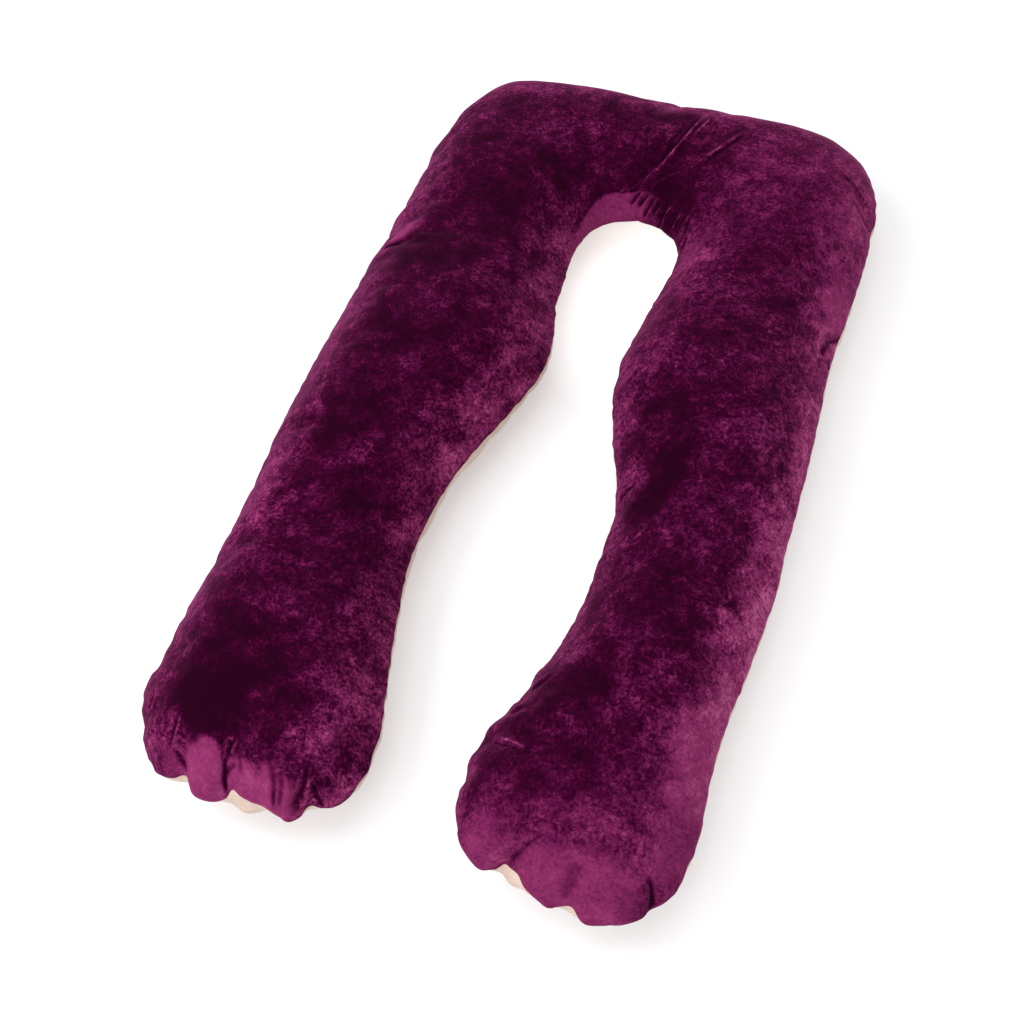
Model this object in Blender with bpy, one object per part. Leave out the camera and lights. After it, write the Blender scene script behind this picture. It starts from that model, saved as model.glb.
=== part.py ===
"""A U-shaped body pillow, 70 by 130 cm, lying on its back on a flat surface.

It is one stuffed cushion in a cover of two panels, a plum velvet one on top and a cream cotton
one underneath, sewn together along one seam at about half its height. The cushion is modelled
whole, as a loft over ribs that run from the inner edge of the U to its outer edge, and is then
parted at the seam: each panel, with the filling under it, is one solid.

Metres, +Z up, +Y from the feet of the U towards its head. The origin is the centre of the
pillow's bounding box, at floor level.
"""

import math
from collections import namedtuple

import bmesh
import bpy
from mathutils import Vector

# Driving sizes
SEAM_HEIGHT = 0.078         # the seam above the floor
SEAM_GAP = 0.0003           # left between the two solids, where the panels are sewn together
SIDE_FULLNESS = 2.25        # superellipse exponents of the section above the seam: the first one
CROWN_FULLNESS = 2.50       # squares its sides, the second one flattens its crown; 2 is an ellipse
SIDE_PINCH = math.radians(14)   # how far the top panel leans in from upright at the seam
FLOOR_SHARE = 0.54          # how much of the pillow's width lies flat on the floor
TUCK_SHARE = 0.29           # the underside heads from the seam for this share of its half-width
FOLD_FADE = 0.30            # folds die out below the seam over this share of its height
CREASE_ANGLE = math.radians(50)     # edges sharper than this are drawn sharp

# How finely the loft is drawn
ARM_RIBS = 27               # ribs along each arm
HEAD_RIBS = 34              # ribs round the head
TOE_STEPS = 48              # steps round each foot
RINGS_ABOVE = 11            # steps from the seam up to the crown
RINGS_BELOW = 6             # steps from the seam down to the floor
WELD_DISTANCE = 0.0001      # points of the loft closer than this are joined
SAME_HEIGHT = 1e-5          # how closely a point has to be at the seam's height to count as on it

VELVET_PLUM = (0.085, 0.004, 0.040, 1.0)
COTTON_CREAM = (0.780, 0.640, 0.560, 1.0)

Rib = namedtuple("Rib", "inner_x inner_y outer_x outer_y crown")

# Left arm, from the foot up. The two arms aren't quite alike: the pillow lies as it was thrown.
LEFT_ARM = [
    Rib(-0.051, 0.130, -0.357, 0.130, 0.150),
    Rib(-0.071, 0.200, -0.360, 0.200, 0.158),
    Rib(-0.091, 0.280, -0.356, 0.280, 0.160),
    Rib(-0.107, 0.360, -0.357, 0.360, 0.158),
    Rib(-0.110, 0.440, -0.360, 0.440, 0.157),
    Rib(-0.101, 0.520, -0.366, 0.520, 0.160),
    Rib(-0.078, 0.600, -0.367, 0.600, 0.166),
    Rib(-0.054, 0.680, -0.367, 0.680, 0.170),
    Rib(-0.045, 0.750, -0.366, 0.750, 0.171),
    Rib(-0.057, 0.820, -0.363, 0.820, 0.168),
    Rib(-0.068, 0.890, -0.359, 0.890, 0.164),
]
# Round the head, from the left shoulder over the arch to the right shoulder.
HEAD = [
    Rib(-0.072, 0.955, -0.359, 0.965, 0.163),
    Rib(-0.068, 0.984, -0.358, 1.060, 0.163),
    Rib(-0.059, 1.008, -0.355, 1.150, 0.162),
    Rib(-0.044, 1.027, -0.323, 1.248, 0.160),
    Rib(-0.023, 1.038, -0.238, 1.296, 0.159),
    Rib(0.003, 1.041, 0.000, 1.292, 0.157),
    Rib(0.032, 1.037, 0.215, 1.285, 0.158),
    Rib(0.056, 1.026, 0.309, 1.238, 0.160),
    Rib(0.075, 1.006, 0.350, 1.150, 0.162),
    Rib(0.083, 0.983, 0.353, 1.060, 0.162),
    Rib(0.083, 0.955, 0.351, 0.965, 0.162),
]
# Right arm, from the shoulder down to the foot.
RIGHT_ARM = [
    Rib(0.075, 0.890, 0.348, 0.890, 0.163),
    Rib(0.067, 0.820, 0.346, 0.820, 0.166),
    Rib(0.060, 0.750, 0.348, 0.750, 0.168),
    Rib(0.073, 0.680, 0.352, 0.680, 0.166),
    Rib(0.103, 0.600, 0.353, 0.600, 0.161),
    Rib(0.125, 0.520, 0.355, 0.520, 0.156),
    Rib(0.129, 0.440, 0.354, 0.440, 0.153),
    Rib(0.128, 0.360, 0.349, 0.360, 0.154),
    Rib(0.113, 0.280, 0.341, 0.280, 0.157),
    Rib(0.081, 0.200, 0.340, 0.200, 0.157),
    Rib(0.062, 0.130, 0.346, 0.130, 0.150),
]

# Where an arm rounds off into its foot: how far the toes reach beyond the arm's last rib, and the
# superellipse exponents of the foot's two corners.
Foot = namedtuple("Foot", "reach inner_roundness outer_roundness")

LEFT_FOOT = Foot(0.136, 3.9, 2.7)
RIGHT_FOOT = Foot(0.135, 2.55, 2.9)

# One row for each fold of the cover: where it starts and where it dies out, its half-width, and
# how far it stands out, or, with a minus, how deep it is. A pucker starts outside the seam and is
# deepest there; any other fold rises and falls along its length.
Fold = namedtuple("Fold", "from_x from_y to_x to_y half_width height at_seam")

FOLDS = [
    # puckers and lobes of the left foot, from its outer side round to its inner side
    Fold(-0.375, 0.145, -0.310, 0.155, 0.012, -0.007, True),
    Fold(-0.372, 0.110, -0.320, 0.110, 0.026, 0.007, True),
    Fold(-0.345, 0.045, -0.300, 0.085, 0.010, -0.006, True),
    Fold(-0.258, -0.016, -0.250, 0.075, 0.013, -0.013, True),
    Fold(-0.214, -0.022, -0.220, 0.060, 0.014, 0.011, True),
    Fold(-0.189, -0.012, -0.194, 0.085, 0.012, -0.036, True),
    Fold(-0.158, -0.016, -0.170, 0.050, 0.026, -0.013, True),
    Fold(-0.108, -0.018, -0.130, 0.070, 0.012, 0.004, True),
    Fold(-0.084, -0.002, -0.105, 0.090, 0.012, -0.022, True),
    Fold(-0.055, 0.050, -0.090, 0.075, 0.008, -0.007, True),
    # of the right foot, from its inner side round to its outer side
    Fold(0.074, 0.214, 0.140, 0.190, 0.014, -0.012, True),
    Fold(0.070, 0.185, 0.110, 0.170, 0.012, 0.006, True),
    Fold(0.055, 0.163, 0.120, 0.155, 0.007, -0.008, True),
    Fold(0.068, 0.062, 0.110, 0.080, 0.009, -0.005, True),
    Fold(0.150, -0.004, 0.164, 0.085, 0.024, -0.030, True),
    Fold(0.192, -0.010, 0.194, 0.060, 0.014, -0.005, True),
    Fold(0.230, -0.015, 0.230, 0.080, 0.010, -0.010, True),
    Fold(0.278, -0.020, 0.270, 0.060, 0.022, 0.006, True),
    Fold(0.322, 0.008, 0.296, 0.075, 0.006, -0.012, True),
    # the pinch in the left arm's outer side, and the fullness on both sides of it
    Fold(-0.385, 0.900, -0.300, 0.885, 0.012, -0.011, True),
    Fold(-0.380, 0.940, -0.310, 0.930, 0.018, 0.006, True),
    Fold(-0.380, 0.850, -0.310, 0.860, 0.030, 0.005, True),
    # the creases across the middle of the head, and the puckers that they end in at the arch
    Fold(0.046, 1.300, 0.016, 1.200, 0.009, 0.009, True),
    Fold(0.024, 1.290, -0.004, 1.205, 0.012, -0.007, True),
    Fold(0.020, 1.215, -0.006, 1.090, 0.009, 0.007, False),
    Fold(0.105, 1.262, 0.012, 1.095, 0.010, 0.007, False),
    Fold(0.080, 1.190, 0.020, 1.085, 0.010, -0.006, False),
    Fold(0.002, 1.030, -0.002, 1.100, 0.006, -0.008, True),
    Fold(0.020, 1.026, 0.020, 1.105, 0.006, -0.009, True),
    Fold(0.040, 1.024, 0.046, 1.100, 0.006, -0.009, True),
    Fold(0.062, 1.012, 0.084, 1.070, 0.007, -0.007, True),
    # drag lines on the right shoulder and at both waists
    Fold(0.368, 1.090, 0.305, 1.140, 0.016, -0.006, True),
    Fold(0.360, 0.865, 0.320, 0.890, 0.012, -0.004, True),
    Fold(0.050, 0.720, 0.105, 0.780, 0.010, -0.005, True),
    Fold(0.118, 0.500, 0.165, 0.580, 0.011, -0.006, True),
    Fold(-0.052, 0.850, -0.100, 0.835, 0.011, -0.005, True),
]

# Where the filling has gathered or thinned under the cover: centre, radius, rise.
Lump = namedtuple("Lump", "x y radius rise")

LUMPS = [
    Lump(-0.215, 0.330, 0.085, -0.006),
    Lump(-0.230, 0.520, 0.090, 0.005),
    Lump(-0.200, 0.700, 0.100, 0.004),
    Lump(-0.215, 0.880, 0.080, -0.005),
    Lump(-0.210, 1.050, 0.100, 0.004),
    Lump(-0.080, 1.170, 0.080, 0.003),
    Lump(0.060, 1.160, 0.060, -0.006),
    Lump(0.200, 1.080, 0.100, 0.005),
    Lump(0.205, 0.900, 0.090, -0.004),
    Lump(0.200, 0.740, 0.090, 0.004),
    Lump(0.235, 0.560, 0.080, -0.004),
    Lump(0.235, 0.350, 0.090, 0.005),
    Lump(0.200, 0.160, 0.070, -0.004),
]


def spline(rows, count):
    """count + 1 rows evenly spaced on a smooth curve through the given ones."""
    out = []
    for step in range(count + 1):
        place = step / count * (len(rows) - 1)
        first = min(int(place), len(rows) - 2)
        t = place - first
        a, b, c, d = (rows[min(max(first + k, 0), len(rows) - 1)] for k in (-1, 0, 1, 2))
        out.append(Rib(*(
            0.5 * (2 * q + (r - p) * t + (2 * p - 5 * q + 4 * r - s) * t * t
                   + (3 * q - p - 3 * r + s) * t ** 3)
            for p, q, r, s in zip(a, b, c, d)
        )))
    return out


def all_ribs():
    """The ribs of the whole U, from the left foot round the head to the right foot."""
    left = spline(LEFT_ARM + HEAD[:1], ARM_RIBS)
    head = spline(HEAD, HEAD_RIBS)
    right = spline(HEAD[-1:] + RIGHT_ARM, ARM_RIBS)
    return left[:-1] + head + right[1:]


def toe_outline(rib, foot):
    """Points round a foot, from its inner side to its outer side, on half a superellipse."""
    middle = (rib.inner_x + rib.outer_x) / 2
    points = []
    for step in range(1, TOE_STEPS):
        angle = math.pi * step / TOE_STEPS
        inner_half = angle < math.pi / 2
        power = 2 / (foot.inner_roundness if inner_half else foot.outer_roundness)
        corner = rib.inner_x if inner_half else rib.outer_x
        points.append((middle + (corner - middle) * abs(math.cos(angle)) ** power,
                       rib.inner_y - foot.reach * math.sin(angle) ** power))
    return points


def columns():
    """(seam point, spine point, crown height) all the way round the pillow's seam."""
    ribs = all_ribs()
    spine = [((r.inner_x + r.outer_x) / 2, (r.inner_y + r.outer_y) / 2) for r in ribs]
    around = [((r.inner_x, r.inner_y), s, r.crown) for r, s in zip(ribs, spine)]
    around += [(p, spine[-1], ribs[-1].crown) for p in toe_outline(ribs[-1], RIGHT_FOOT)]
    around += [((r.outer_x, r.outer_y), s, r.crown)
               for r, s in zip(reversed(ribs), reversed(spine))]
    around += [(p, spine[0], ribs[0].crown) for p in reversed(toe_outline(ribs[0], LEFT_FOOT))]
    return around


def section(seam, spine, crown):
    """Points of one column, from the spine on the floor, round the seam, up to the crown."""
    points = []
    for step in range(RINGS_BELOW):
        t = step / RINGS_BELOW
        inward = (1 - t) ** 2 * (1 - FLOOR_SHARE) + 2 * t * (1 - t) * TUCK_SHARE
        points.append((inward, SEAM_HEIGHT * t * t))
    for step in range(RINGS_ABOVE):
        angle = SIDE_PINCH + (math.pi / 2 - SIDE_PINCH) * step / RINGS_ABOVE
        inward = 1 - (math.cos(angle) / math.cos(SIDE_PINCH)) ** (2 / SIDE_FULLNESS)
        rise = (math.sin(angle) - math.sin(SIDE_PINCH)) / (1 - math.sin(SIDE_PINCH))
        points.append((inward, SEAM_HEIGHT + (crown - SEAM_HEIGHT) * rise ** (2 / CROWN_FULLNESS)))
    points.append((1, crown))
    return [
        Vector((seam[0] + (spine[0] - seam[0]) * inward,
                seam[1] + (spine[1] - seam[1]) * inward, z))
        for inward, z in points
    ]


def fold_lift(x, y):
    """How far the cover's folds lift the surface at a place seen from above."""
    lift = 0.0
    for f in FOLDS:
        run = Vector((f.to_x - f.from_x, f.to_y - f.from_y))
        out = Vector((x - f.from_x, y - f.from_y))
        t = min(max(out.dot(run) / run.length_squared, 0.0), 1.0)
        across = (out - run * t).length / f.half_width
        along = math.cos(math.pi / 2 * t) ** 2 if f.at_seam else math.sin(math.pi * t)
        lift += f.height * along * math.exp(-across * across)
    return lift


def lump_lift(x, y):
    """How far the filling's lumps lift the surface at a place seen from above."""
    return sum(
        lump.rise * math.exp(-((x - lump.x) ** 2 + (y - lump.y) ** 2) / lump.radius ** 2)
        for lump in LUMPS
    )


def below_seam_share(z):
    """How much of a fold is left below the seam: the underside bulges on past the puckers."""
    return min(1.0, max(0.0, 1 - (SEAM_HEIGHT - z) / (SEAM_HEIGHT * FOLD_FADE)))


def whole_cushion():
    """The cushion as one closed mesh, with its folds and lumps."""
    bm = bmesh.new()
    rings = []
    for seam, spine, crown in columns():
        rings.append([bm.verts.new(p) for p in section(seam, spine, crown)])
    for here, there in zip(rings, rings[1:] + rings[:1]):
        for low in range(len(here) - 1):
            bm.faces.new((here[low], there[low], there[low + 1], here[low + 1]))
    bm.faces.new([ring[0] for ring in reversed(rings)])
    bmesh.ops.remove_doubles(bm, verts=bm.verts, dist=WELD_DISTANCE)
    bmesh.ops.recalc_face_normals(bm, faces=bm.faces)
    bm.normal_update()
    moved = []
    for vert in bm.verts:
        x, y, z = vert.co
        lift = fold_lift(x, y) * below_seam_share(z)
        if z > SEAM_HEIGHT:
            lift += lump_lift(x, y)
        outward = vert.normal.copy()
        if math.isclose(z, SEAM_HEIGHT, rel_tol=SAME_HEIGHT):
            outward.z = 0.0
        moved.append(vert.co + outward * lift)
    for vert, place in zip(bm.verts, moved):
        vert.co = place
    return bm


def centre(bm):
    """Moves the mesh so that its bounding box is centred on the origin, seen from above."""
    for axis in (0, 1):
        values = [v.co[axis] for v in bm.verts]
        middle = (min(values) + max(values)) / 2
        for vert in bm.verts:
            vert.co[axis] -= middle


def fabric(name, colour, roughness):
    material = bpy.data.materials.new(name)
    material.use_nodes = True
    shader = material.node_tree.nodes["Principled BSDF"]
    shader.inputs["Base Color"].default_value = colour
    shader.inputs["Roughness"].default_value = roughness
    shader.inputs["Metallic"].default_value = 0.0
    return material


def panel(name, cushion, above, material, collection):
    """The part of the cushion above or below the seam, as one closed solid."""
    bm = cushion.copy()
    side = 1 if above else -1
    cut = bmesh.ops.bisect_plane(
        bm,
        geom=bm.verts[:] + bm.edges[:] + bm.faces[:],
        plane_co=(0, 0, SEAM_HEIGHT + side * SEAM_GAP / 2),
        plane_no=(0, 0, -side),
        clear_outer=True,
    )
    edges = [e for e in cut["geom_cut"] if isinstance(e, bmesh.types.BMEdge)]
    bmesh.ops.contextual_create(bm, geom=edges)
    bmesh.ops.recalc_face_normals(bm, faces=bm.faces)
    mesh = bpy.data.meshes.new(name)
    bm.to_mesh(mesh)
    bm.free()
    mesh.materials.append(material)
    mesh.shade_smooth()
    mesh.set_sharp_from_angle(angle=CREASE_ANGLE)
    solid = bpy.data.objects.new(name, mesh)
    collection.objects.link(solid)
    return solid


def main():
    for old in list(bpy.data.objects):
        bpy.data.objects.remove(old)
    collection = bpy.data.collections.new("body_pillow")
    bpy.context.scene.collection.children.link(collection)
    cushion = whole_cushion()
    centre(cushion)
    panel("velvet_top", cushion, True, fabric("plum_velvet", VELVET_PLUM, 0.9), collection)
    panel("cream_underside", cushion, False, fabric("cream_cotton", COTTON_CREAM, 0.85),
          collection)
    cushion.free()


main()
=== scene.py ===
"""Looks of the U-shaped body pillow: a plum crushed-velvet top over a cream cotton underside.

Both panels are sewn round one stuffed cushion. The cushion is made whole from the CAD solids: it
is remeshed, puffed up as cloth with its seam held, filled out along its walls and creased. Then
it is parted again at the seam, and the lie of the pile, with painted sheen, highlights and shade,
is worked into the velvet's colour.

Metres, +Z up, +Y from the feet of the U towards its head, as the frame has them.
"""
import math
from collections import namedtuple

import bpy
import numpy as np
from mathutils import Matrix, Quaternion, Vector


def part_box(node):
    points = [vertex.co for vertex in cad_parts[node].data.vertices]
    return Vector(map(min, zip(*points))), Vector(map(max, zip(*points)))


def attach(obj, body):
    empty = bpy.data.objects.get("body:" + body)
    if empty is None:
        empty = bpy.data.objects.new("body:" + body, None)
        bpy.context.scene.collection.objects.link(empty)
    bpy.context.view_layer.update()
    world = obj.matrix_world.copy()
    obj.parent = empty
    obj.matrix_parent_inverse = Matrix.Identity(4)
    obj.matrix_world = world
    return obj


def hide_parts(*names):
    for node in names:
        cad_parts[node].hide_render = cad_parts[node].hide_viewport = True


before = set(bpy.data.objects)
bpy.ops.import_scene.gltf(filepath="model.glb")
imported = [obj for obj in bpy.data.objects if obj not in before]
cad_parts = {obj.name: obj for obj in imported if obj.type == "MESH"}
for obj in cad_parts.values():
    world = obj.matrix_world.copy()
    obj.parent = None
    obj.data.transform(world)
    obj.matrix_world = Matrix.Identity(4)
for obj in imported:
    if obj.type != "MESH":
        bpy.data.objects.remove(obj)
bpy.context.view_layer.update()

TOP, UNDERSIDE = "velvet_top", "cream_underside"
SEAM_Z = (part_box(UNDERSIDE)[1].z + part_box(TOP)[0].z) / 2
FLOOR_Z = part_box(UNDERSIDE)[0].z
CROWN_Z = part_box(TOP)[1].z

# Remeshing and puffing up
WELD = 0.0006               # joins the two solids across their seam gap
VOXEL = 0.0092
SLACK = 0.0020              # the cushion starts this far inside its CAD solids
CLOTH_SHRINK = -0.02        # below 0: the cover is cut larger than the filling by this share
PRESSURE = 4.0
LAST_FRAME = 20
PUFF_CAP = 0.005            # how far the puffing may move a point
SEAM_HOLD = 0.006           # points this close to the seam's height are held by it
FLOOR_HOLD = 0.0008         # points this close to the floor stay on it
BARELY_HELD = 0.01          # points held less than this are left free

# The seam and the walls beside it
EDGE_FULLNESS = 0.0040      # the walls stand out this much more where the filling is packed tight
EDGE_REACH = 0.030          # up to about this far above and below the seam
FULLNESS_TALL = 3.0         # a full place is this many times as tall as it is wide
SEAM_VALLEY = 0.0022        # how deep the seam is drawn in between the two panels
SEAM_VALLEY_REACH = 0.0045  # over this height above and below it
GATHER_DEPTH = 0.0003       # the small puckers that the stitches make
GATHER_REACH = 0.018        # they fade away over this height from the seam
GATHER_SPACING = 0.016
GATHER_UPRIGHT = 0.15       # below 1: they run up and down, so height counts less in them
GATHER_END = (0.004, 0.020)  # they end between these heights above the floor
ARCH_CENTRE = (0.010, 0.320)
ARCH_TUCK_REACH = (0.090, 0.260)
ARCH_TUCK_Y = (0.100, 0.300)
ARCH_TUCK = 0.060           # the underside turns in this much more under the arch
FEET_TUCK = 0.010           # and at the ends of the feet
FEET_TUCK_Y = (-0.620, -0.520)
TUCK_CURVE = 0.8            # below 1: it turns in most just below the seam
BELLY = 0.005               # how far the underside rounds out elsewhere
UNDERSIDE_FADE = 0.3        # the underside's own shape comes in over this part of the way down
SEAM_WANDER = 0.0005        # the seam line is never quite level
SEAM_WANDER_LENGTH = 0.090
SMOOTH_ANGLE = 60           # in degrees; sharper edges show as edges

# Seeded noise: how many waves it adds up, their lengths as shares of the one asked for, and the
# angles that they start at
WAVE_COUNT = 9
WAVE_LENGTHS = (0.7, 1.5)
WAVE_STARTS = (0, 6.28)

# Where the cover stands out from its neighbours along the edge, or is drawn in where a fold ends:
# a place on the edge, the half-width of that place and how far the cover stands out there.
Fullness = namedtuple("Fullness", "x y z half_width out")

EDGE_SHAPE = [
    # left foot: the lobes of its hem with the notches between them
    Fullness(-0.285, -0.637, 0.080, 0.018, 0.0035),
    Fullness(-0.252, -0.637, 0.080, 0.008, -0.0040),
    Fullness(-0.233, -0.646, 0.080, 0.013, 0.0028),
    Fullness(-0.207, -0.651, 0.078, 0.013, 0.0030),
    Fullness(-0.185, -0.642, 0.080, 0.0055, -0.0028),
    Fullness(-0.164, -0.640, 0.080, 0.012, 0.0005),
    Fullness(-0.090, -0.628, 0.080, 0.008, -0.0045),
    Fullness(-0.066, -0.618, 0.080, 0.011, -0.0030),
    Fullness(-0.050, -0.592, 0.080, 0.015, 0.0065),
    Fullness(-0.046, -0.577, 0.080, 0.008, 0.0020),
    Fullness(-0.045, -0.558, 0.080, 0.014, 0.0045),
    Fullness(-0.330, -0.597, 0.088, 0.028, -0.0030),
    Fullness(-0.350, -0.511, 0.090, 0.009, -0.0030),
    Fullness(-0.344, -0.490, 0.090, 0.014, 0.0040),
    # right foot
    Fullness(0.086, -0.452, 0.090, 0.012, -0.0045),
    Fullness(0.106, -0.437, 0.100, 0.008, 0.0035),
    Fullness(0.107, -0.400, 0.090, 0.009, -0.0015),
    Fullness(0.114, -0.381, 0.088, 0.011, 0.0030),
    Fullness(0.077, -0.480, 0.086, 0.010, 0.0010),
    Fullness(0.072, -0.536, 0.088, 0.018, -0.0040),
    Fullness(0.080, -0.579, 0.084, 0.014, 0.0045),
    Fullness(0.095, -0.607, 0.084, 0.012, 0.0015),
    Fullness(0.124, -0.627, 0.080, 0.014, 0.0020),
    Fullness(0.151, -0.620, 0.080, 0.005, -0.0020),
    Fullness(0.213, -0.645, 0.079, 0.011, 0.0030),
    Fullness(0.236, -0.646, 0.080, 0.006, -0.0020),
    Fullness(0.258, -0.647, 0.080, 0.013, 0.0045),
    Fullness(0.300, -0.634, 0.080, 0.014, 0.0015),
    Fullness(0.314, -0.624, 0.083, 0.010, 0.0035),
    Fullness(0.349, -0.558, 0.085, 0.015, -0.0012),
    Fullness(0.349, -0.525, 0.085, 0.024, -0.0018),
    # outer sides of the arms
    Fullness(-0.345, 0.320, 0.100, 0.100, 0.0020),
    Fullness(-0.354, 0.140, 0.100, 0.100, 0.0020),
    Fullness(-0.357, -0.040, 0.100, 0.100, 0.0018),
    Fullness(-0.350, -0.220, 0.100, 0.100, 0.0020),
    Fullness(-0.344, -0.400, 0.095, 0.090, 0.0014),
    Fullness(-0.348, 0.271, 0.090, 0.012, 0.0030),
    Fullness(-0.333, 0.233, 0.105, 0.010, 0.0035),
    Fullness(-0.346, 0.455, 0.095, 0.018, 0.0030),
    Fullness(-0.345, 0.160, 0.110, 0.030, 0.0015),
    Fullness(-0.337, -0.320, 0.105, 0.030, 0.0020),
    Fullness(0.353, 0.190, 0.086, 0.040, -0.0020),
    Fullness(0.362, -0.120, 0.086, 0.035, -0.0030),
    # inner sides of the arms
    Fullness(-0.043, 0.080, 0.084, 0.050, 0.0030),
    Fullness(-0.066, -0.023, 0.080, 0.030, 0.0015),
    Fullness(0.105, -0.030, 0.085, 0.030, 0.0030),
    Fullness(0.136, -0.123, 0.086, 0.024, 0.0025),
    Fullness(0.136, -0.252, 0.088, 0.020, -0.0010),
    Fullness(0.092, 0.327, 0.088, 0.018, -0.0015),
    # round the head
    Fullness(-0.320, 0.534, 0.121, 0.020, 0.0030),
    Fullness(-0.300, 0.572, 0.124, 0.024, -0.0035),
    Fullness(-0.180, 0.607, 0.147, 0.060, -0.0055),
    Fullness(-0.055, 0.607, 0.143, 0.025, -0.0030),
    Fullness(0.004, 0.622, 0.122, 0.018, 0.0050),
    Fullness(0.160, 0.608, 0.138, 0.040, -0.0065),
    Fullness(0.225, 0.603, 0.139, 0.035, -0.0060),
    Fullness(0.285, 0.597, 0.120, 0.030, -0.0040),
    Fullness(0.358, 0.490, 0.087, 0.050, -0.0015),
]

# The same for the underside alone, where its cloth bulges out below a notch or is tucked away
UNDERSIDE_SHAPE = [
    Fullness(-0.262, -0.632, 0.045, 0.014, 0.0060),
    Fullness(-0.172, -0.640, 0.045, 0.020, 0.0150),
    Fullness(-0.068, -0.615, 0.050, 0.030, -0.0120),
    Fullness(0.116, -0.620, 0.050, 0.022, -0.0100),
    Fullness(0.162, -0.624, 0.045, 0.014, 0.0060),
    Fullness(0.238, -0.640, 0.045, 0.014, 0.0080),
    Fullness(0.320, -0.610, 0.050, 0.030, -0.0080),
]

# Where the seam line is lifted in a notch of the hem, or hangs low under a lobe. Each place is
# this many times as long, front to back, as it is wide.
SEAM_RISE_LONG = 4
SeamRise = namedtuple("SeamRise", "x y half_width rise")

SEAM_LINE = [
    SeamRise(-0.252, -0.637, 0.009, 0.0050),
    SeamRise(-0.222, -0.650, 0.018, -0.0030),
    SeamRise(-0.183, -0.641, 0.0065, 0.0150),
    SeamRise(-0.172, -0.641, 0.010, 0.0060),
    SeamRise(-0.108, -0.640, 0.014, -0.0040),
    SeamRise(-0.088, -0.626, 0.008, 0.0050),
    SeamRise(-0.046, -0.577, 0.005, 0.0040),
    SeamRise(0.120, -0.626, 0.018, -0.0030),
    SeamRise(0.152, -0.620, 0.006, 0.0050),
    SeamRise(0.172, -0.630, 0.012, 0.0020),
    SeamRise(0.212, -0.645, 0.012, -0.0040),
    SeamRise(0.238, -0.647, 0.009, 0.0060),
    SeamRise(0.262, -0.648, 0.014, -0.0045),
    SeamRise(0.298, -0.636, 0.016, -0.0020),
]

CREASE_STEPS = 10           # points along the bent line of a crease
CREASE_REACH = 4.5          # in half-widths of a crease
CREASE_TAPER = (-0.04, 0.30)  # it swells between these shares of its length, from each end
CREASE_LOWEST = 0.006       # nothing lower than this below the seam's height is creased
CREASE_FADE = 0.008         # a crease fades away over this height down to the seam
FINE_REACHES = (2.2, 1.1)   # faces this close, in half-widths, are split once, then again
FURROW_PLACE = 1.5          # in half-widths from the crest
# Past the feet the cover is stretched smooth over the walls, where its normals point up less
FEET_END_Y = (-0.46, -0.40)
WALL_NORMAL = (0.1, 0.5)

# Creases of the cover seen from above: a line from one point past a bend to another, its
# half-width, how far its crest stands out, and how deep the furrow beside it is. The furrow lies
# on the right of the line as it runs, or on its left where the depth is negative.
Crease = namedtuple("Crease", "from_x from_y bend_x bend_y to_x to_y half_width crest furrow")

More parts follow.
